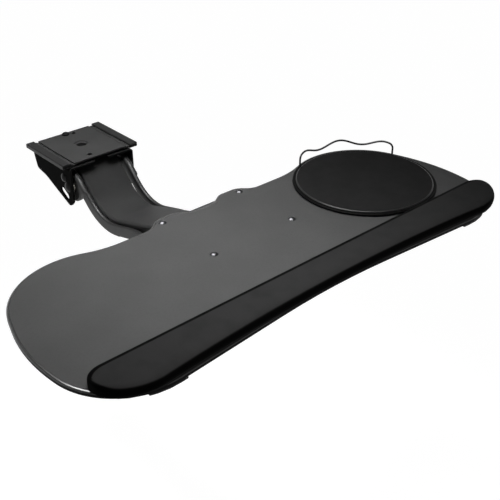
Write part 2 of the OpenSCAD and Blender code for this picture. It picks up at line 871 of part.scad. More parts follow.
module tilt_head() {
    foot = [low_pin_at.x - 12, low_pin_at.y - 13];
    brow = [tilt_at.x - 14, tilt_at.y - 12];
    along = brow - foot;
    inward = unit([along.y, -along.x]) * sheet_t;
    web_a = foot + along * 0.3;
    web_b = foot + along * 0.72;
    color("#232325")
        difference() {
            union() {
                both_sides()
                    side_plate(head_in, sheet_t)
                        head_outline();
                side_plate(-head_in - 1, 2 * head_in + 2)
                    polygon([web_a, web_b, web_b + inward, web_a + inward]);
            }
            for (at = [high_pin_at, low_pin_at])
                rod(at, shaft_r + fit, -head_w, head_w);
            rod(tilt_at, bolt_d / 2 + fit, -head_w, head_w);
        }
}

module head_pin_upper() {
    end = cover_w / 2 + bush_flange + slip;
    color("#77777a") {
        rod(high_pin_at, shaft_r, -end, end);
        both_sides()
            dome(high_pin_at, shaft_r + 2, rail_gap * 0.4, end);
    }
}

module head_pin_lower() {
    end = rail_in + neck_w + slip;
    color("#77777a") {
        rod(low_pin_at, shaft_r, -end, end);
        both_sides()
            dome(low_pin_at, shaft_r + 3, 2.2, end);
    }
}

module head_spacers() {
    color("#c9c6b8")
        both_sides()
            sleeve(low_pin_at, shaft_r + 1.6, shaft_r + fit, head_out, rail_in - slip);
}

knob_x0 = ear_out + slip + 1.5 + slip;
knob_cap = 5;

module tilt_bolt() {
    head_h = 5;
    color("#8c8c8e") {
        rod(tilt_at, bolt_d / 2, -ear_out - slip, knob_x0 + knob_l - knob_cap - 1);
        translate([-ear_out - slip, tilt_at.x, tilt_at.y])
            rotate([0, -90, 0])
                hexagon(13, head_h);
    }
}

module tilt_washers() {
    color("#c9c6b8") {
        both_sides()
            sleeve(tilt_at, bolt_d / 2 + 7, bolt_d / 2 + fit, head_out, head_out + tilt_washer_t);
        sleeve(tilt_at, bolt_d / 2 + 6, bolt_d / 2 + fit, ear_out + slip, ear_out + slip + 1.5);
    }
}

module tilt_knob() {
    grips = 8;
    scallop_r = 3.4;
    skirt = 4;
    insert_d = 13;
    color("#141414")
        difference() {
            union() {
                rod(tilt_at, knob_d / 2 - 5, knob_x0, knob_x0 + skirt);
                rod(tilt_at, knob_d / 2, knob_x0 + skirt, knob_x0 + knob_l - 1);
                rod(tilt_at, knob_d / 2 - 1.5, knob_x0 + knob_l - 1, knob_x0 + knob_l);
            }
            rod(tilt_at, bolt_d / 2 + fit, knob_x0 - 1, knob_x0 + knob_l - knob_cap);
            rod(tilt_at, insert_d / 2 + fit, knob_x0 + skirt, knob_x0 + knob_l - knob_cap - 2);
            for (i = [0:grips - 1])
                let (a = 360 * (i + 0.5) / grips)
                rod(tilt_at + (knob_d / 2 + 1.6) * [cos(a), sin(a)], scallop_r, knob_x0 - 1,
                    knob_x0 + knob_l + 1);
        }
}

module knob_insert() {
    skirt = 4;
    insert_d = 13;
    color("#b08d57")
        sleeve(tilt_at, insert_d / 2, bolt_d / 2 + fit, knob_x0 + skirt, knob_x0 + knob_l - knob_cap - 2);
}

module tray_bracket() {
    x = screw_dx / 2 + bracket_margin;
    rear = screw_y + bracket_margin;
    front = screw_y - screw_dy - bracket_margin;
    corner_r = 12;
    window_w = 44;
    window_l = 30;
    color("#1c1c1e")
        difference() {
            union() {
                translate([0, 0, bracket_low])
                    linear_extrude(sheet_t)
                        difference() {
                            polygon(rounded([[x, rear, corner_r], [-x, rear, corner_r],
                                             [-x, front, corner_r], [x, front, corner_r]]));
                            translate([-window_w / 2, front + 20])
                                square([window_w, window_l]);
                        }
                both_sides()
                    side_plate(ear_in, sheet_t)
                        polygon(rounded([
                            [tilt_at.x + 22, bracket_low + 1, 0], [tilt_at.x - 22, bracket_low + 1, 0],
                            [tilt_at.x - 12, tilt_at.y - 11, 9], [tilt_at.x + 12, tilt_at.y - 11, 9]
                        ]));
            }
            rod(tilt_at, bolt_d / 2 + fit, -ear_out - 1, ear_out + 1);
            for (p = screw_at)
                translate([p.x, p.y, bracket_low - 1])
                    cylinder(r = screw_d / 2 + fit, h = sheet_t + 2);
        }
}

module tray_panel() {
    color("#58585a")
        difference() {
            translate([0, 0, tray_low])
                linear_extrude(tray_t)
                    polygon(tray_outline);
            for (p = screw_at)
                translate([p.x, p.y, tray_low - 1])
                    cylinder(r = screw_d / 2 + fit, h = tray_t + 2);
            translate([disc_at.x, disc_at.y, tray_low - 1])
                cylinder(r = pivot_d / 2 + fit, h = tray_t + 2);
            clip_holes(tray_low - 1, tray_t + 2);
        }
}

module tray_screws() {
    head_h = 2.6;
    color("#a8a8aa")
        for (p = screw_at)
            translate([p.x, p.y, 0]) {
                translate([0, 0, bracket_low - nut_h - 1])
                    cylinder(d = screw_d, h = tray_top - bracket_low + nut_h + 1);
                translate([0, 0, tray_top])
                    rotate([0, -90, 0])
                        dome([0, 0], screw_head_d / 2, head_h, 0);
            }
}

module tray_nuts() {
    color("#8c8c8e")
        for (p = screw_at)
            translate([p.x, p.y, bracket_low - nut_h])
                difference() {
                    hexagon(10, nut_h);
                    translate([0, 0, -1])
                        cylinder(r = screw_d / 2 + fit, h = nut_h + 2);
                }
}

// Plan of the palm rest: rear and front edge at a distance x from the middle
function end_round(x, from, reach) = x <= from ? 1 : sqrt(max(0, 1 - pow((x - from) / reach, 2)));
function palm_rear_y(x, inset = 0) =
    let (from = palm_w / 2 - palm_rear_round)
    palm_end_y + (palm_rear - inset - palm_end_y) * end_round(x, from, palm_rear_round - inset);
function palm_front_y(x, inset = 0) =
    let (from = palm_w / 2 - palm_front_round,
         bow = palm_bow * pow(min(x, from) / from, 2))
    palm_end_y + (palm_front - bow + inset - palm_end_y) * end_round(x, from, palm_front_round - inset);
// Stations crowd towards the two round ends
function palm_x(i) = palm_w / 2 * sin(178 * (i / palm_stations - 0.5));
function palm_edge(i) = end_round(abs(palm_x(i)), palm_w / 2 - palm_front_round, palm_front_round);

// Cross-section from the front foot over the crown to the rear foot; the sides draw in at the foot
function palm_point(i, k) =
    let (x = palm_x(i),
         rear = palm_rear_y(abs(x)),
         front = palm_front_y(abs(x)),
         a = 180 * k / (palm_ring - 1),
         mid = (rear + front) / 2,
         half = (rear - front) / 2,
         lift = pow(sin(a), 0.55),
         foot = 1 - 0.06 * pow(1 - lift, 3),
         c = cos(a))
    [x, mid - half * foot * sign(c) * pow(abs(c), 0.38),
     palm_low + seat + palm_h * lift * (0.72 + 0.28 * pow(palm_edge(i), 0.5))];
palm_points = [for (i = [0:palm_stations], k = [0:palm_ring - 1]) palm_point(i, k)];

module palm_rest() {
    n = palm_ring;
    skin = [for (i = [0:palm_stations - 1], k = [0:n - 1])
        let (a = i * n + k, b = i * n + (k + 1) % n)
        each [[a, b, b + n], [a, b + n, a + n]]];
    left_end = [for (k = [1:n - 2]) [0, k + 1, k]];
    last = palm_stations * n;
    right_end = [for (k = [1:n - 2]) [last, last + k, last + k + 1]];
    color("#2b2b2d")
        polyhedron(palm_points, concat(skin, left_end, right_end), convexity = 4);
}

module palm_base() {
    steps = 36;
    xs = [for (i = [0:steps]) (palm_w / 2 - palm_inset) * sin(178 * (i / steps - 0.5))];
    rear = [for (x = xs) [x, palm_rear_y(abs(x), palm_inset)]];
    front = [for (i = [steps:-1:0]) [xs[i], palm_front_y(abs(xs[i]), palm_inset)]];
    color("#101010")
        difference() {
            translate([0, 0, tray_top])
                linear_extrude(palm_base_t)
                    polygon(concat(front, rear));
            clip_holes(tray_top - 1, 1 + clip_screw_bite + seat);
        }
}

// Holes for the clip screws, from z0 up
module clip_holes(z0, h) {
    both_sides()
        for (s = [-1, 1])
            translate([clip_dx / 2 + s * clip_w / 4, clip_screw_y, z0])
                cylinder(r = clip_screw_d / 2 + fit, h = h);
}

// Tab under the tray's front edge, whose screws hold the palm rest through the tray
module palm_clip() {
    difference() {
        translate([0, 0, tray_low - clip_t])
            linear_extrude(clip_t)
                intersection() {
                    polygon(tray_outline);
                    translate([clip_dx / 2 - clip_w / 2, clip_front - clip_l])
                        square([clip_w, 2 * clip_l]);
                }
        clip_holes(tray_low - clip_t - 1, clip_t + 2);
    }
}

module palm_clip_left() {
    color("#6a6a6c")
        mirror([1, 0, 0])
            palm_clip();
}

module palm_clip_right() {
    color("#6a6a6c")
        palm_clip();
}

module clip_screws() {
    head_h = 1.8;
    color("#a8a8aa")
        both_sides()
            for (s = [-1, 1])
                translate([clip_dx / 2 + s * clip_w / 4, clip_screw_y, tray_low - clip_t]) {
                    cylinder(d = clip_screw_d, h = clip_t + tray_t + clip_screw_bite);
                    rotate([0, 90, 0])
                        dome([0, 0], 3.6, head_h, 0);
                }
}

module glide_ring() {
    color("#d8d6cc")
        translate([disc_at.x, disc_at.y, tray_top])
            difference() {
                cylinder(d = 60, h = ring_t);
                translate([0, 0, -1])
                    cylinder(d = pivot_d + 8, h = ring_t + 2);
            }
}

module mouse_disc() {
    bevel = 1;
    color("#303032")
        difference() {
            translate([disc_at.x, disc_at.y, disc_low])
                rotate_extrude()
                    polygon([[0, 0], [disc_r - bevel / 2, 0], [disc_r, bevel / 2], [disc_r, disc_t - bevel],
                             [disc_r - bevel, disc_t], [0, disc_t]]);
            translate([disc_at.x, disc_at.y, disc_low - 1])
                cylinder(r = pivot_d / 2 + fit, h = disc_t + 2);
            translate([disc_at.x, disc_at.y, disc_top - pivot_head_h])
                cylinder(r = pivot_head_d / 2 + fit, h = pivot_head_h + 1);
            for (p = fence_feet)
                translate([p.x, p.y, disc_low - 1])
                    cylinder(r = fence_wire / 2 + fit, h = disc_t + 2);
        }
}

module mouse_pad() {
    edge = 0.5;
    pad_r = disc_r - pad_rim;
    color("#242424")
        translate([disc_at.x, disc_at.y, disc_top])
            rotate_extrude()
                polygon([[0, 0], [pad_r, 0], [pad_r, pad_t - edge], [pad_r - edge, pad_t], [0, pad_t]]);
}

// Fence: two upright feet in the disc's rim joined by a wave of three crests
function fence_place(a, z) = [disc_at.x + fence_r * cos(a), disc_at.y + fence_r * sin(a), z];
fence_ends = [fence_dir - fence_span / 2, fence_dir + fence_span / 2];
fence_feet = [for (a = fence_ends) fence_place(a, 0)];
fence_bend = 5;
function fence_z(t) =
    let (wave = fence_mean + fence_wave * cos(360 * fence_waves * (t - 0.5)),
         reach = min(fence_bend, fence_span * PI / 180 * fence_r * min(t, 1 - t)),
         drop = fence_bend - sqrt(pow(fence_bend, 2) - pow(fence_bend - reach, 2)))
    wave - drop;
fence_top = [for (i = [0:fence_steps])
    let (t = (1 - cos(180 * i / fence_steps)) / 2)
    fence_place(fence_ends[0] + fence_span * t, fence_z(t))];
fence_path = concat([fence_place(fence_ends[0], disc_low + slip), fence_place(fence_ends[0], pad_top)],
                    fence_top,
                    [fence_place(fence_ends[1], pad_top), fence_place(fence_ends[1], disc_low + slip)]);

module mouse_fence() {
    middle = [cos(fence_dir), sin(fence_dir), 0];
    color("#1a1a1a")
        tube(fence_path, fence_wire / 2, 8, middle);
}

pivot_washer_t = 1.6;
pivot_nut_h = 5;

module pivot_bolt() {
    low = tray_low - slip - pivot_washer_t - pivot_nut_h - 1;
    color("#8c8c8e")
        translate([disc_at.x, disc_at.y, 0]) {
            translate([0, 0, low])
                cylinder(d = pivot_d, h = disc_top - low);
            translate([0, 0, disc_top - pivot_head_h])
                cylinder(d = pivot_head_d, h = pivot_head_h);
        }
}

module pivot_washer() {
    color("#c9c6b8")
        translate([disc_at.x, disc_at.y, tray_low - slip - pivot_washer_t])
            difference() {
                cylinder(d = 24, h = pivot_washer_t);
                translate([0, 0, -1])
                    cylinder(r = pivot_d / 2 + fit, h = pivot_washer_t + 2);
            }
}

module pivot_nut() {
    color("#8c8c8e")
        translate([disc_at.x, disc_at.y, tray_low - slip - pivot_washer_t - pivot_nut_h])
            difference() {
                hexagon(16, pivot_nut_h);
                translate([0, 0, -1])
                    cylinder(r = pivot_d / 2 + fit, h = pivot_nut_h + 2);
            }
}

glide_plate();
glide_strip_left();
glide_strip_right();
rear_bumper();
swivel_stud();
swivel_washer();
swivel_spring_washer();
swivel_nut();
swivel_bracket();
cover_shaft();
rail_stub_pins();
rail_washers();
arm_cover();
cover_tube();
cover_bushes();
lift_spring_left();
lift_spring_right();
arm_rail_left();
arm_rail_right();
rail_bushes();
rail_tie();
tilt_head();
head_pin_upper();
head_pin_lower();
head_spacers();
tilt_bolt();
tilt_washers();
tilt_knob();
knob_insert();
tray_bracket();
tray_panel();
tray_screws();
tray_nuts();
palm_rest();
palm_base();
palm_clip_left();
palm_clip_right();
clip_screws();
glide_ring();
mouse_disc();
mouse_pad();
mouse_fence();
pivot_bolt();
pivot_washer();
pivot_nut();
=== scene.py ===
"""Looks of a keyboard tray on a swan-neck arm: carriage, bracket, arm, tilt head, tray and mouse platform."""

import json

import bmesh
import bpy
import numpy as np
from mathutils import Matrix

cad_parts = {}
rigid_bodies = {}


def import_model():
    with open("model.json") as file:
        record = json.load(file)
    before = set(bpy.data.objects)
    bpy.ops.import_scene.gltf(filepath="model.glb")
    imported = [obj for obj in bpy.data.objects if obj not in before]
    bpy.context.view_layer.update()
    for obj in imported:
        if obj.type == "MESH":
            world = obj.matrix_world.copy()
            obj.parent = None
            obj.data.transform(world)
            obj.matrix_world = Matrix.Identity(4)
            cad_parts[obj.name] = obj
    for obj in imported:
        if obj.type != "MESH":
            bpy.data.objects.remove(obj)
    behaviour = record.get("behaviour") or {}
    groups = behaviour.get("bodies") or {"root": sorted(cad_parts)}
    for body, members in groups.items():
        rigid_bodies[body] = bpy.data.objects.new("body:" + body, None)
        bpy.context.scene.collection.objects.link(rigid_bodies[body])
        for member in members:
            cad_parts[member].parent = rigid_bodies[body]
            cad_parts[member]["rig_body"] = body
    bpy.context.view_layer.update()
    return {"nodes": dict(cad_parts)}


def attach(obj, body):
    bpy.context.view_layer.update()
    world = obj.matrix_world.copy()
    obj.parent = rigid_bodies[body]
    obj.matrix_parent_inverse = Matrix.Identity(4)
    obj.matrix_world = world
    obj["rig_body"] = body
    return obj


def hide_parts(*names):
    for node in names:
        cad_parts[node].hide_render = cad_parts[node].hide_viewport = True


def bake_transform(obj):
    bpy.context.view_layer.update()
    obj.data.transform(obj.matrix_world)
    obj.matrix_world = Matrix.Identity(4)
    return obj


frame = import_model()


# Camera at the photograph's place: in front of the tray on its left, looking down at 31 degrees.
# A square 36 mm frame with a lens of 62 mm gives the photograph's perspective.
scene = bpy.context.scene
scene.view_settings.view_transform = "Standard"
lens = bpy.data.cameras.new("camera")
lens.sensor_width = 36
lens.lens = 62.33
lens.clip_end = 50
camera = bpy.data.objects.new("camera", lens)
scene.collection.objects.link(camera)
to_right = (0.745706, -0.666275, 0)
to_top = (0.346267, 0.387547, 0.854346)
to_back = (-0.569229, -0.637091, 0.519705)
stand = (-0.629774, -1.09967, 0.559417)
place = Matrix.Identity(4)
for column, values in enumerate((to_right, to_top, to_back, stand)):
    place.col[column][:3] = values
camera.matrix_world = place
scene.camera = camera


# Studio: a pale floor 0.62 m below the tray, a long overhead softbox and a faint room light. To the eye
# the room is white; in gloss its walls are white at the foot and dim overhead. A white card above on the
# left is seen in gloss only and draws the bright lines on round edges.
def linear(code):
    """Linear colour of an sRGB hex code, by the standard's two-part curve."""
    parts = np.array([int(code[i : i + 2], 16) for i in (1, 3, 5)]) / 255
    curve = np.where(parts <= 0.04045, parts / 12.92, ((parts + 0.055) / 1.055) ** 2.4)
    return (*curve.tolist(), 1.0)


def add(tree, kind, links=None, **settings):
    """One node: settings are its properties or its sockets by name, links name a socket and its source."""
    made = tree.nodes.new(kind)
    for key, value in settings.items():
        if hasattr(made, key):
            setattr(made, key, value)
        else:
            made.inputs[key.replace("_", " ")].default_value = value
    for key, (source, output) in (links or {}).items():
        tree.links.new(source.outputs[output], made.inputs[key])
    return made


def seen_directly(tree):
    """1 on rays from the eye, from gloss and through clear pieces, and 0 on rays that carry fill light."""
    ray = add(tree, "ShaderNodeLightPath")
    eye_or_gloss = {0: (ray, "Is Camera Ray"), 1: (ray, "Is Glossy Ray")}
    direct = add(tree, "ShaderNodeMath", eye_or_gloss, operation="MAXIMUM")
    or_clear = {0: (direct, 0), 1: (ray, "Is Transmission Ray")}
    return add(tree, "ShaderNodeMath", or_clear, operation="MAXIMUM")


wall_foot, wall_head = 0.1, 0.4
foot_light, head_light, fill_light = 1.0, 0.12, 0.05
room = bpy.data.worlds.new("studio_room")
room.use_nodes = True
air = room.node_tree
air.nodes.clear()
way = add(air, "ShaderNodeTexCoord")
rise = add(air, "ShaderNodeSeparateXYZ", {"Vector": (way, "Generated")})
wall_range = {"From_Min": wall_foot, "From_Max": wall_head, "To_Min": foot_light, "To_Max": head_light}
walls = add(air, "ShaderNodeMapRange", {"Value": (rise, "Z")}, **wall_range)
view_ray = add(air, "ShaderNodeLightPath")
eye_or_wall = {0: (view_ray, "Is Camera Ray"), 1: (walls, "Result")}
whiteness = add(air, "ShaderNodeMath", eye_or_wall, operation="MAXIMUM")
white = add(air, "ShaderNodeBackground", {"Strength": (whiteness, 0)}, Color=linear("#ffffff"))
fill = add(air, "ShaderNodeBackground", Color=linear("#ffffff"), Strength=fill_light)
air_light = add(air, "ShaderNodeMixShader", {0: (seen_directly(air), 0), 1: (fill, 0), 2: (white, 0)})
add(air, "ShaderNodeOutputWorld", {"Surface": (air_light, 0)})
scene.world = room

# Matt floor paint: a glow just under white to the eye and in gloss, on which the shadow still shows
floor_level, floor_reach, floor_glow = -0.62, 9.0, 0.985
floor_paint = bpy.data.materials.new("pale_floor_paint")
floor_paint.use_nodes = True
ground = floor_paint.node_tree
ground.nodes.clear()
shown = seen_directly(ground)
tone = add(ground, "ShaderNodeMix", {"Factor": (shown, 0)}, data_type="RGBA")
tone.inputs["A"].default_value = linear("#6a6a6a")
tone.inputs["B"].default_value = linear("#707070")
matt = add(ground, "ShaderNodeBsdfDiffuse", {"Color": (tone, "Result")})
lift = add(ground, "ShaderNodeMath", {0: (shown, 0)}, operation="MULTIPLY")
lift.inputs[1].default_value = floor_glow
glow = add(ground, "ShaderNodeEmission", {"Strength": (lift, 0)}, Color=linear("#ffffff"))
both = add(ground, "ShaderNodeAddShader", {0: (matt, 0), 1: (glow, 0)})
add(ground, "ShaderNodeOutputMaterial", {"Surface": (both, 0)})
floor_mesh = bpy.data.meshes.new("floor")
quarters = ((-1, -1), (1, -1), (1, 1), (-1, 1))
floor_corners = [(x * floor_reach, y * floor_reach, floor_level) for x, y in quarters]
floor_mesh.from_pydata(floor_corners, [], [(0, 1, 2, 3)])
floor_mesh.materials.append(floor_paint)
floor = bpy.data.objects.new("floor", floor_mesh)
scene.collection.objects.link(floor)

softbox = bpy.data.lights.new("overhead_softbox", "AREA")
softbox.shape = "RECTANGLE"
softbox.size = 0.2
softbox.size_y = 0.9
softbox.spread = np.radians(53)
softbox.energy = 2.0
softbox_place = bpy.data.objects.new("overhead_softbox", softbox)
softbox_place.location = (-0.07, -0.36, 1.1)
scene.collection.objects.link(softbox_place)
card = bpy.data.lights.new("white_card", "AREA")
card.size = 0.6
card.energy = 16.0
card_place = bpy.data.objects.new("white_card", card)
card_place.location = (-0.48, -0.05, 1.1)
card_place.visible_diffuse = False
scene.collection.objects.link(card_place)


# Glide plate: 2.5 mm steel pressed with a raised panel and two lower wings, in a satin black coat.
# Two nylon C-strips are pushed on the wings, and a rubber stop sits at the rear edge.
def coat(name, tones, patch_mm, grain_mm, depth_mm, rough, metal=0.0, gloss=0.5, pattern="noise", rim=None):
    """A finish whose tones drift over patches, with a grain that moves its bump, tone and roughness.

    The grain is a noise, or cells that are round pebbles, creased skin or a square weave. A rim names an
    attribute of the mesh and the tone that the finish takes where it is 1.
    """
    grain_share, dark_end, light_end, bump_strength = 0.3, 0.2, 0.6, 0.6
    kind, height, settings = {
        "noise": ("ShaderNodeTexNoise", "Fac", {"Detail": 2.0}),
        "pebble": ("ShaderNodeTexVoronoi", "Distance", {"feature": "SMOOTH_F1", "Smoothness": 0.7}),
        "crease": ("ShaderNodeTexVoronoi", "Distance", {"feature": "DISTANCE_TO_EDGE"}),
        "weave": ("ShaderNodeTexVoronoi", "Distance", {"distance": "CHEBYCHEV", "Randomness": 0.0}),
    }[pattern]
    made = bpy.data.materials.new(name)
    made.use_nodes = True
    tree = made.node_tree
    tree.nodes.clear()
    where = add(tree, "ShaderNodeTexCoord")
    patch = add(tree, "ShaderNodeTexNoise", {"Vector": (where, "Object")}, Scale=1000 / patch_mm, Detail=3.0)
    grain = add(tree, kind, {"Vector": (where, "Object")}, Scale=1000 / grain_mm, **settings)
    drift = add(tree, "ShaderNodeMath", {0: (grain, height), 2: (patch, "Fac")}, operation="MULTIPLY_ADD")
    drift.inputs[1].default_value = grain_share if pattern == "crease" else -grain_share
    blend = add(tree, "ShaderNodeValToRGB", {"Fac": (drift, "Value")})
    for stop, position, code in zip(blend.color_ramp.elements, (dark_end, light_end), tones):
        stop.position = position
        stop.color = linear(code)
    colour = (blend, "Color")
    if rim:
        mark = add(tree, "ShaderNodeAttribute", attribute_name=rim[0])
        mixed = add(tree, "ShaderNodeMix", {"Factor": (mark, "Fac"), "A": colour}, data_type="RGBA")
        mixed.inputs["B"].default_value = linear(rim[1])
        colour = (mixed, "Result")
    worn = add(tree, "ShaderNodeMapRange", {"Value": (grain, height)}, To_Min=rough[0], To_Max=rough[1])
    bump_size = {"Strength": bump_strength, "Distance": depth_mm / 1000}
    bump = add(tree, "ShaderNodeBump", {"Height": (grain, height)}, **bump_size)
    bump.invert = pattern in ("pebble", "weave")
    body = add(
        tree,
        "ShaderNodeBsdfPrincipled",
        {"Base Color": colour, "Roughness": (worn, "Result"), "Normal": (bump, "Normal")},
        Metallic=metal,
        Specular_IOR_Level=gloss,
        IOR=1.5,
    )
    add(tree, "ShaderNodeOutputMaterial", {"Surface": (body, 0)})
    return made


def paint(material, *nodes):
    """Gives CAD nodes whose shape is right this material in place of the plain one."""
    for name in nodes:
        mesh = frame["nodes"][name].data
        mesh.materials.clear()
        mesh.materials.append(material)


def eased(material, node, edge_mm, angle=32):
    """Copy of a rigid node, its triangles joined into faces and its sharp edges eased by a small round."""
    weld, flat = 2e-6, np.radians(0.4)
    source = frame["nodes"][node]
    mesh = source.data.copy()
    work = bmesh.new()
    work.from_mesh(mesh)
    bmesh.ops.remove_doubles(work, verts=work.verts, dist=weld)
    bmesh.ops.dissolve_limit(work, angle_limit=flat, verts=work.verts, edges=work.edges)
    work.to_mesh(mesh)
    work.free()
    mesh.materials.clear()
    mesh.materials.append(material)
    mesh.shade_smooth()
    mesh.set_sharp_from_angle(angle=np.radians(angle))
    made = bpy.data.objects.new(node + "_finished", mesh)
    scene.collection.objects.link(made)
    round_edge = made.modifiers.new("eased_edges", "BEVEL")
    round_edge.width = edge_mm / 1000
    round_edge.segments = 2
    round_edge.limit_method = "ANGLE"
    round_edge.angle_limit = np.radians(angle)
    round_edge.harden_normals = True
    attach(made, source["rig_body"])
    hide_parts(node)


# Black powder coat on steel: satin, with a fine orange peel, drawn at 1.6 mm so that it shows
coat_mm, coat_rough = (45, 1.6, 0.03), (0.42, 0.52)
satin_black = coat("powder_coated_steel_satin", ("#4a4a4a", "#505050"), *coat_mm, coat_rough, gloss=0.03)
eased(satin_black, "glide_plate", 0.5)
# Injection-moulded nylon, darker than the steel and polished by the track
strip_nylon = coat("moulded_nylon_grey", ("#262626", "#2c2c2c"), 30, 1.2, 0.02, (0.36, 0.46), gloss=0.25)
eased(strip_nylon, "glide_strip_left", 0.7)
eased(strip_nylon, "glide_strip_right", 0.7)
# Moulded black rubber, nearly without gloss
stop_rubber = coat("moulded_rubber_black", ("#101010", "#161616"), 12, 0.8, 0.05, (0.75, 0.85), gloss=0.2)
paint(stop_rubber, "rear_bumper")


# Swivel: a black stud riveted in the plate's recess, a nylon bearing washer, and a zinc-plated dished
# spring washer and nut that keep the bracket tight below.

# Black oxide on turned steel: nearly black, with a dim sheen
pin_oxide = coat("black_oxide_steel", ("#1c1c1c", "#242424"), 10, 0.6, 0.01, (0.3, 0.42), metal=1.0)
paint(pin_oxide, "swivel_stud")
# Zinc plating on steel: a pale grey metal, half bright
zinc = coat("zinc_plated_steel", ("#8a8a8c", "#9a9a9c"), 8, 0.7, 0.01, (0.32, 0.45), metal=1.0)
paint(zinc, "swivel_spring_washer", "swivel_nut")
# Turned natural nylon: a creamy white with a soft sheen
washer_nylon = coat("turned_nylon_natural", ("#cfccc0", "#dbd8cd"), 15, 0.9, 0.02, (0.4, 0.5))
paint(washer_nylon, "swivel_washer", "rail_washers")


# Swivel bracket: 3 mm steel bent to a U, two cheeks with slots, in the plate's coat with painted shade that
# makes it a deeper black.
# The arm's cross shaft and two stub pins are riveted through the cheeks.

# The same coat in a dead matt black, painted darker as shade, which keeps the cheeks dark
shaded_black = coat("powder_coated_steel_painted_shade", ("#2a2a2a", "#303030"), *coat_mm, coat_rough, gloss=0.005)
eased(shaded_black, "swivel_bracket", 0.5)
paint(pin_oxide, "cover_shaft", "rail_stub_pins")


# Arm cover: 3 mm steel channel pressed into a swan neck, wide and smooth, satin black.
# It is the upper link of the arm and turns on a spacer tube and nylon bushes.

# The same coat, painted darker on the channel as the shade that the plate casts on it
shaded_cover_black = coat("powder_coated_steel_cover_shade", ("#404040", "#454545"), *coat_mm, coat_rough, gloss=0.03)
eased(shaded_cover_black, "arm_cover", 0.5)
paint(satin_black, "cover_tube")
paint(washer_nylon, "cover_bushes")


# Arm rails: two cast swan-neck bars with round knuckles, the lower link of the arm, black with a bright
# crest. Bronze bushes sit in their eyes and a bent strap ties them.

# The same coat laid thicker on the cast bars, so that it flows out to a gloss, and painted darker as shade so
# that the bars' sides stay black
painted_shade_rail_tones = ("#1f1f1f", "#252525")
gloss_black = coat("powder_coated_casting_gloss", painted_shade_rail_tones, 45, 2.2, 0.02, (0.44, 0.52), gloss=0.45)
eased(gloss_black, "arm_rail_left", 0.5)
eased(gloss_black, "arm_rail_right", 0.5)
# Sintered bronze: a brown metal, dulled by its pores
bronze = coat("sintered_bronze", ("#9a7440", "#a9824b"), 6, 0.5, 0.02, (0.4, 0.5), metal=1.0)
paint(bronze, "rail_bushes")
eased(satin_black, "rail_tie", 0.4)


# Lift springs: two torsion springs of 3 mm oil-tempered wire round the cover's tube, a rear leg under
# the bracket's web and a front leg under the cover, so they wind up as the arm goes down.
def build(name, points, faces, material, slot, body=None, replaced=(), angle=40, **marks):
    """Object of a point array and a face list, doubles merged, faces outwards, smooth up to an angle.

    Each mark is an array of one number for each point, kept as an attribute for the material.
    """
    weld = 1e-6
    mesh = bpy.data.meshes.new(name)
    mesh.from_pydata(np.asarray(points, float).reshape(-1, 3).tolist(), [], faces)
    for mark, values in marks.items():
        mesh.attributes.new(mark, "FLOAT", "POINT").data.foreach_set("value", np.ravel(values))
    work = bmesh.new()
    work.from_mesh(mesh)
    bmesh.ops.remove_doubles(work, verts=work.verts, dist=weld)
    bmesh.ops.recalc_face_normals(work, faces=work.faces)
    work.to_mesh(mesh)
    work.free()
    mesh.materials.append(material)
    mesh.shade_smooth()
    mesh.set_sharp_from_angle(angle=np.radians(angle))
    made = bpy.data.objects.new(name, mesh)
    scene.collection.objects.link(made)
    if body:
        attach(made, body)
    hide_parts(*replaced)
    return made


def skin(rows, columns):
    """Quads between the rows of a grid of points whose columns run round."""
    r, c = np.meshgrid(np.arange(rows - 1), np.arange(columns), indexing="ij")
    right = (c + 1) % columns
    low, high = r * columns, (r + 1) * columns
    return np.stack([low + c, low + right, high + right, high + c], -1).reshape(-1, 4).tolist()


def wire(path, radius, across, sides=14):
    """Round wire along a path: a circle in the plane square to the path at each point, with flat ends."""
    path = np.asarray(path, float)
    along = np.gradient(path, axis=0)
    along /= np.linalg.norm(along, axis=1, keepdims=True)
    u = np.cross(along, across)
    u /= np.linalg.norm(u, axis=1, keepdims=True)
    v = np.cross(u, along)
    a = np.linspace(0, 2 * np.pi, sides, endpoint=False)[None, :, None]
    rings = path[:, None] + radius * (np.cos(a) * u[:, None] + np.sin(a) * v[:, None])
    last = (len(path) - 1) * sides
    ends = [list(range(sides)), list(range(last, last + sides))]
    return rings, skin(len(path), sides) + ends


# Oil-tempered wire: a dark blue-grey metal with a drawn sheen
spring_steel = coat("oil_tempered_spring_wire", ("#47474b", "#55555a"), 8, 0.5, 0.01, (0.35, 0.48), metal=1.0)
# The shaft and the far ends of the legs are places in the side view, as y and z in millimetres
shaft = np.array([-35.0, -28.0])
coil_r, wire_r, pitch, side_x, coils = 8.4, 1.5, 3.6, 27.0, 5
turn_points, leg_points = 36, 12
rear_leg = np.array([15.0, -10.8])
front_leg = np.array([-69.215, -45.004])


def lag(point):
    """Bearing of a leg's far end from the shaft, and how far off it the leg leaves the coil at a tangent."""
    d = point - shaft
    return np.arctan2(d[1], d[0]), np.arccos(coil_r / np.linalg.norm(d))


rear_bearing, rear_lag = lag(rear_leg)
coil_from = rear_bearing + rear_lag
front_bearing, front_lag = lag(front_leg)
coil_to = front_bearing % (2 * np.pi) - front_lag + 2 * np.pi * coils
winding = np.linspace(coil_from, coil_to, turn_points * coils)
coil_x = side_x - pitch * (winding - coil_from) / (2 * np.pi)
coil_y, coil_z = shaft[0] + coil_r * np.cos(winding), shaft[1] + coil_r * np.sin(winding)
coil = np.stack([coil_x, coil_y, coil_z], -1)
run = np.linspace(0, 1, leg_points)[:, None]
rear_run = np.array([side_x, *rear_leg]) * (1 - run) + coil[0] * run
front_run = coil[-1] * (1 - run) + np.array([coil[-1][0], *front_leg]) * run
spring_line = np.concatenate([rear_run[:-1], coil, front_run[1:]])
for side, sign in (("left", -1), ("right", 1)):
    rings, faces = wire(spring_line * (sign, 1, 1) / 1000, wire_r / 1000, (1.0, 0, 0))
    node = "lift_spring_" + side
    spring = build(node + "_wire", rings, faces, spring_steel, "spring_steel", replaced=[node])
    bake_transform(spring)


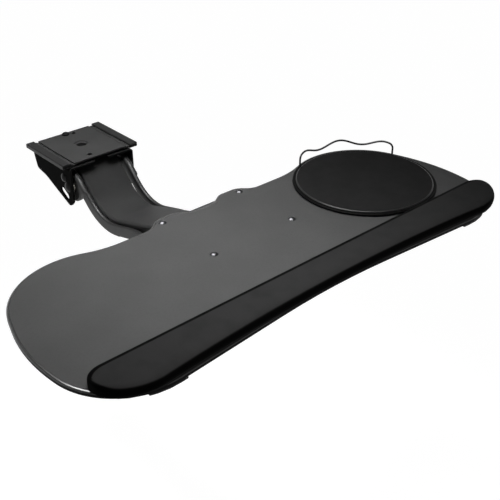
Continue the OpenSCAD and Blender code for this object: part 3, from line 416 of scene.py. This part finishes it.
# Tilt head: two 3 mm steel side plates joined by a web, which the two links keep level. It carries the
# head pins with their spacers, and the tilt bolt with its washers and hand knob.
eased(satin_black, "tilt_head", 0.5)
paint(pin_oxide, "head_pin_upper", "head_pin_lower")
paint(washer_nylon, "head_spacers", "tilt_washers")
paint(zinc, "tilt_bolt")
# Glass-filled nylon, moulded with eight grips, dull black
knob_nylon = coat("moulded_nylon_black", ("#131313", "#191919"), 18, 1.0, 0.05, (0.55, 0.68), gloss=0.3)
eased(knob_nylon, "tilt_knob", 0.8)
# Turned brass: a yellow metal, smooth from the tool
brass = coat("turned_brass", ("#b08a3c", "#bd9747"), 6, 0.4, 0.01, (0.28, 0.38), metal=1.0)
paint(brass, "knob_insert")


# Tray: a 6 mm phenolic panel cut to a dog-bone outline with a dark grey pebbled laminate on both faces.
# Its upper edge is rounded over with a router and buffed, and its side is left as cut. A steel
# bracket below carries it, held by four domed screws and nuts.
def rounded(corners, step=3.0):
    """Closed outline whose corners [x, y, radius] are rounded by arcs that touch both sides."""
    arcs = []
    corners = np.asarray(corners, float)
    for before, here, after in zip(np.roll(corners, 1, 0), corners, np.roll(corners, -1, 0)):
        u, v = before[:2] - here[:2], after[:2] - here[:2]
        u, v = u / np.linalg.norm(u), v / np.linalg.norm(v)
        half = np.arccos(u @ v) / 2
        middle = here[:2] + (u + v) / np.linalg.norm(u + v) * here[2] / np.sin(half)
        start = here[:2] + u * here[2] / np.tan(half) - middle
        turn = np.sign(v[0] * u[1] - v[1] * u[0]) * (np.pi - 2 * half)
        share = np.linspace(0, 1, int(np.degrees(abs(turn)) / step) + 5)
        a = np.arctan2(start[1], start[0]) + turn * share
        arcs.append(middle + here[2] * np.stack([np.cos(a), np.sin(a)], -1))
    return np.concatenate(arcs)


def around(outline, inset, height):
    """Rings that follow an outline, each set in from it by its inset and lying at its height."""
    along = np.roll(outline, -1, 0) - np.roll(outline, 1, 0)
    out = np.stack([along[:, 1], -along[:, 0]], -1) / np.linalg.norm(along, axis=1, keepdims=True)
    area = np.sum(outline[:, 0] * np.roll(outline[:, 1], -1) - outline[:, 1] * np.roll(outline[:, 0], -1))
    plan = outline[None] - np.reshape(inset, (-1, 1, 1)) * np.sign(area) * out[None]
    level = np.broadcast_to(np.reshape(height, (-1, 1, 1)), (*plan.shape[:2], 1))
    return np.concatenate([plan, level], -1)


def closed(rows, columns):
    """Quads between the rows of a grid whose columns run round, and a flat face on its first and last row."""
    first, last = list(range(columns)), list(range((rows - 1) * columns, rows * columns))
    return skin(rows, columns) + [first[::-1], last]


# Places and sizes of the tray in millimetres, which become metres as its pieces are built
rear, front, half_w = -286.292, -543.292, 335.0
tray_low, tray_top = 2.9984, 8.9984
front_corner = (half_w - 11.6, front - 21.9)
front_mid, front_straight = front + 3.3, 240
front_slope = np.arctan2(front_mid - front_corner[1], front_corner[0])
front_length = np.hypot(front_corner[0], front_corner[1] - front_mid)
front_bow = (front_length - front_straight) / np.tan(front_slope)
# Corners of the right half as x, y and radius, from the rear notch round to the front
half_tray = [
    (18, rear - 14, 18),
    (38, rear, 18),
    (70, rear, 25),
    (87, rear - 16, 25),
    (half_w - 176.8, rear - 16, 130),
    (half_w - 48.1, rear + 31.8, 104),
    (half_w + 4.2, rear - 137.8, 240),
    (*front_corner, 90),
]
other_half = [(-x, y, r) for x, y, r in reversed(half_tray)]
tray_line = rounded(half_tray + [(0, front_mid, front_bow)] + other_half)
tray_points = len(tray_line)
# The buffed round turns through 62 degrees, and a seam of 0.02 mm keeps the three pieces apart
edge_r, edge_turn, side_r, seam, face_margin = 3.8, np.radians(62), 0.8, 0.02, 3
edge_in = edge_r * np.sin(edge_turn)
core_top = tray_top - edge_r * (1 - np.cos(edge_turn))
# High-pressure laminate: matt dark grey with a faint sheen, its pebble drawn at 1.8 mm so that it shows
laminate_mm, laminate_rough = (60, 1.8, 0.05), (0.5, 0.6)
laminate_tones = ("#525252", "#565656")
laminate = coat(
    "pebbled_laminate_grey", laminate_tones, *laminate_mm, laminate_rough, gloss=0.1, pattern="pebble"
)
face_edge = edge_in + seam
inset = [face_edge + face_margin, face_edge, face_edge, face_edge + face_margin]
rings = around(tray_line, inset, [tray_low, tray_low, tray_top, tray_top])
faces = closed(len(inset), tray_points)
build("tray_panel_laminate", rings / 1000, faces, laminate, "tray_laminate", "tray", ["tray_panel"], 60)
# Phenolic core, buffed to a sheen on the round
buffed_core = coat("buffed_phenolic_edge", ("#3b3b3b", "#414141"), 40, 2.5, 0.01, (0.22, 0.28), gloss=1.0)
edge_arc = np.linspace(0, edge_turn, 11)
inset = [*(edge_in - edge_r * np.sin(edge_arc)), edge_in, edge_in]
height = [*(tray_top - edge_r * (1 - np.cos(edge_arc))), core_top, tray_top]
rings, faces = around(tray_line, inset, height), skin(len(inset), tray_points)
build("tray_buffed_edge", rings / 1000, faces, buffed_core, "black_plastic", "tray", ["tray_panel"], 50)
# The same core, dull from the saw on the side and painted near black there as shade
shaded_sawn_core = coat("sawn_phenolic_side_painted_shade", ("#0c0c0c", "#111111"), 40, 1.2, 0.03, (0.5, 0.6), gloss=0.04)
side_top = core_top - seam
side_arc = np.linspace(0, np.pi / 2, 7)
inset = [edge_in, 0.0, *(side_r * (1 - np.cos(side_arc))), edge_in, edge_in]
height = [side_top, side_top, *(tray_low + side_r * (1 - np.sin(side_arc))), tray_low, side_top]
rings, faces = around(tray_line, inset, height), skin(len(inset), tray_points)
build("tray_sawn_side", rings / 1000, faces, shaded_sawn_core, "black_plastic", "tray", ["tray_panel"], 50)
eased(satin_black, "tray_bracket", 0.5)
# Black zinc on the screws' domes, brighter than the oxide of the pins
screw_zinc = coat("black_zinc_plated_steel", ("#4c4c4e", "#58585a"), 8, 0.6, 0.01, (0.3, 0.38), metal=1.0)
paint(screw_zinc, "tray_screws")
paint(zinc, "tray_nuts")


# Palm rest: a moulded foam cushion under stretched black vinyl, straight behind and bowed in front, with
# round ends. It is glued to a hard base, which screws through the tray hold to two tabs below.
palm_w, palm_h, palm_low = 636.0, 15.0, 11.2984
palm_front, palm_rear = front - 7.0, front + 41.5
palm_end = palm_rear - 18.0
rear_round, front_round, palm_bow = 22.0, 58.0, 13.0
# How square the cross-section is in height and depth, how far its foot draws in, and its height at the ends
rise_power, depth_power, foot_tuck, end_height = 0.55, 0.38, 0.06, 0.72
# Distances from the edge between which the painted shade on the border ends, at the front and the ends, and
# at the rear
border, rear_border = (1.5, 3.5), (8.8, 9.8)


def fade(x, start, length):
    """1 up to start, then a quarter ellipse down to 0 over length."""
    return np.sqrt(np.clip(1 - (np.clip(x - start, 0, None) / length) ** 2, 0, 1))


def within(distance, ends):
    """0 up to the first end and 1 from the second on, in proportion between them."""
    return np.clip((distance - ends[0]) / (ends[1] - ends[0]), 0, 1)


def cushion(stations=241, ring=73):
    """Cross-sections from end to end, each run through by an angle from the rear edge over to the front one.

    Height is a small power of the angle's sine and depth of its cosine, so that a section rises steeply and
    is nearly flat on top. The third array is the painted shade: 1 on a dark band round the top's edge, widest
    behind, and on the sides, where the light falls away, and it falls to 0 on the top.
    """
    x = palm_w / 2 * np.sin(np.linspace(-np.pi / 2, np.pi / 2, stations))[:, None]
    far = np.abs(x)
    start = palm_w / 2 - front_round
    end = fade(far, start, front_round)
    behind = palm_end + (palm_rear - palm_end) * fade(far, palm_w / 2 - rear_round, rear_round)
    bow = palm_bow * (np.minimum(far, start) / start) ** 2
    before = palm_end + (palm_front - bow - palm_end) * end
    a = np.linspace(0, np.pi, ring)[None]
    rise = np.sin(a) ** rise_power
    depth = np.sign(np.cos(a)) * np.abs(np.cos(a)) ** depth_power * (1 - foot_tuck * (1 - rise) ** 3)
    y = (behind + before) / 2 - (behind - before) / 2 * depth
    z = palm_low + palm_h * rise * (end_height + (1 - end_height) * end**0.5)
    points = np.stack([np.broadcast_to(x, y.shape), y, z], -1)
    to_rear = (y - palm_end) / (palm_rear - palm_end)
    to_front = (palm_end - y) / (palm_end - before.min())
    off = np.where(y > palm_end, to_rear, to_front)
    end_round = np.where(y > palm_end, rear_round, front_round)
    beside = palm_w / 2 - end_round * (1 - np.sqrt(np.clip(1 - off**2, 0, 1))) - far
    top = np.minimum(within(np.minimum(y - before, beside), border), within(behind - y, rear_border))
    return points, skin(stations, ring), 1 - top * top * (3 - 2 * top)


# Vinyl over foam: a dark top embossed with a leather grain, drawn at 1.5 mm so that it shows, with painted
# shade in near black on the border round the top and on the sides, where the light falls away
vinyl_tones, vinyl_mm, vinyl_rough = ("#303030", "#353535"), (30, 1.5, 0.12), (0.5, 0.62)
vinyl_look = {"gloss": 0.004, "pattern": "crease", "rim": ("rolled_border", "#0a0a0a")}
vinyl = coat("embossed_vinyl_black", vinyl_tones, *vinyl_mm, vinyl_rough, **vinyl_look)
# The third array marks where the near-black painted shade lies on the cushion's border and sides
points, faces, rolled = cushion()
palm = build(
    "palm_rest_cushion",
    points / 1000,
    faces,
    vinyl,
    "palm_skin",
    "tray",
    ["palm_rest"],
    80,
    rolled_border=rolled,
)
# Moulded ABS, black and nearly without gloss
base_abs = coat("moulded_abs_black", ("#0c0c0c", "#111111"), 30, 1.0, 0.03, (0.5, 0.6), gloss=0.05)
paint(base_abs, "palm_base")
# Moulded ABS in a dark grey, half matt
tab_abs = coat("moulded_abs_grey", ("#262626", "#2c2c2c"), 20, 1.0, 0.03, (0.45, 0.55), gloss=0.12)
eased(tab_abs, "palm_clip_left", 0.4)
eased(tab_abs, "palm_clip_right", 0.4)
paint(zinc, "clip_screws")


# Mouse platform: a 3 mm phenolic disc that turns on a bolt and a nylon ring, a cloth-faced rubber pad
# glued on it, and a wavy wire fence whose two feet stand in holes of the rim.
paint(washer_nylon, "glide_ring", "pivot_washer")
paint(zinc, "pivot_bolt", "pivot_nut")
# Phenolic board, dull from the saw and painted near black as the shade on its side under the pad
shaded_disc_board = coat("phenolic_disc_painted_shade", ("#0b0b0b", "#101010"), 40, 1.4, 0.02, (0.5, 0.6), gloss=0.05)
eased(shaded_disc_board, "mouse_disc", 0.5, 25)
disc = np.array([214.0, -395.292])
disc_low, disc_top, pad_top = 10.0484, 13.0484, 14.5484
pad_r, pad_roll, pad_points = 95.75, 1.8, 240
compass = np.linspace(0, 2 * np.pi, pad_points, endpoint=False)
pad_line = disc + pad_r * np.stack([np.cos(compass), np.sin(compass)], -1)
# Knitted cloth: an even dark grey without gloss, its stitches drawn at 1.4 mm so that they show
pad_mm, pad_rough = (25, 1.4, 0.1), (0.75, 0.9)
pad_cloth = coat("knitted_pad_cloth", ("#242424", "#292929"), *pad_mm, pad_rough, gloss=0.05, pattern="weave")
inset = [pad_roll + seam, pad_roll + seam]
rings, faces = around(pad_line, inset, [disc_top, pad_top]), closed(len(inset), pad_points)
build("mouse_pad_face", rings / 1000, faces, pad_cloth, "pad_cloth", "mouse_platform", ["mouse_pad"], 60)
# Rubber, rolled and buffed at the edge to a thin bright line
pad_rubber = coat("buffed_rubber_edge", ("#252525", "#2a2a2a"), 30, 1.2, 0.01, (0.32, 0.4), gloss=0.42)
roll_arc = np.linspace(0, np.pi / 2, 9)
inset = [*(pad_roll * (1 - np.cos(roll_arc))), pad_roll, 0.0]
height = [*(disc_top + (pad_top - disc_top) * np.sin(roll_arc)), disc_top, disc_top]
rings, faces = around(pad_line, inset, height), skin(len(inset), pad_points)
build("mouse_pad_edge", rings / 1000, faces, pad_rubber, "pad_cloth", "mouse_platform", ["mouse_pad"], 50)
fence_r, fence_mean, fence_wave, fence_waves = 98.0, 26.8484, 4.0, 2.4
fence_span, fence_middle, fence_bend, fence_wire = np.radians(95), np.radians(64.5), 5.0, 2.8
fence_points, foot_points, foot_gap = 161, 12, 0.05
# The wave runs from foot to foot and comes down to each in a quarter round
along = (1 - np.cos(np.linspace(0, np.pi, fence_points))) / 2
from_foot = np.clip(fence_span * fence_r * np.minimum(along, 1 - along), 0, fence_bend)
bend = fence_bend - np.sqrt(np.clip(fence_bend**2 - (fence_bend - from_foot) ** 2, 0, None))
wave = fence_mean + fence_wave * np.cos(2 * np.pi * fence_waves * (along - 0.5)) - bend
bearing = fence_middle + fence_span * (along - 0.5)
crest = np.stack([disc[0] + fence_r * np.cos(bearing), disc[1] + fence_r * np.sin(bearing), wave], -1)
foot_up = np.linspace(disc_low + foot_gap, wave[0], foot_points)[:-1, None]
first_foot = np.concatenate([np.repeat(crest[:1, :2], len(foot_up), 0), foot_up], -1)
last_foot = np.concatenate([np.repeat(crest[-1:, :2], len(foot_up), 0), foot_up[::-1]], -1)
fence_line = np.concatenate([first_foot, crest, last_foot])
# Dipped coat on drawn wire: black, with a satin sheen
fence_coat = coat("black_coated_wire", ("#171717", "#1d1d1d"), 10, 0.6, 0.01, (0.35, 0.45))
outwards = (np.cos(fence_middle), np.sin(fence_middle), 0)
rings, faces = wire(fence_line / 1000, fence_wire / 2000, outwards)
build("mouse_fence_wire", rings, faces, fence_coat, "black_wire", "mouse_platform", ["mouse_fence"])
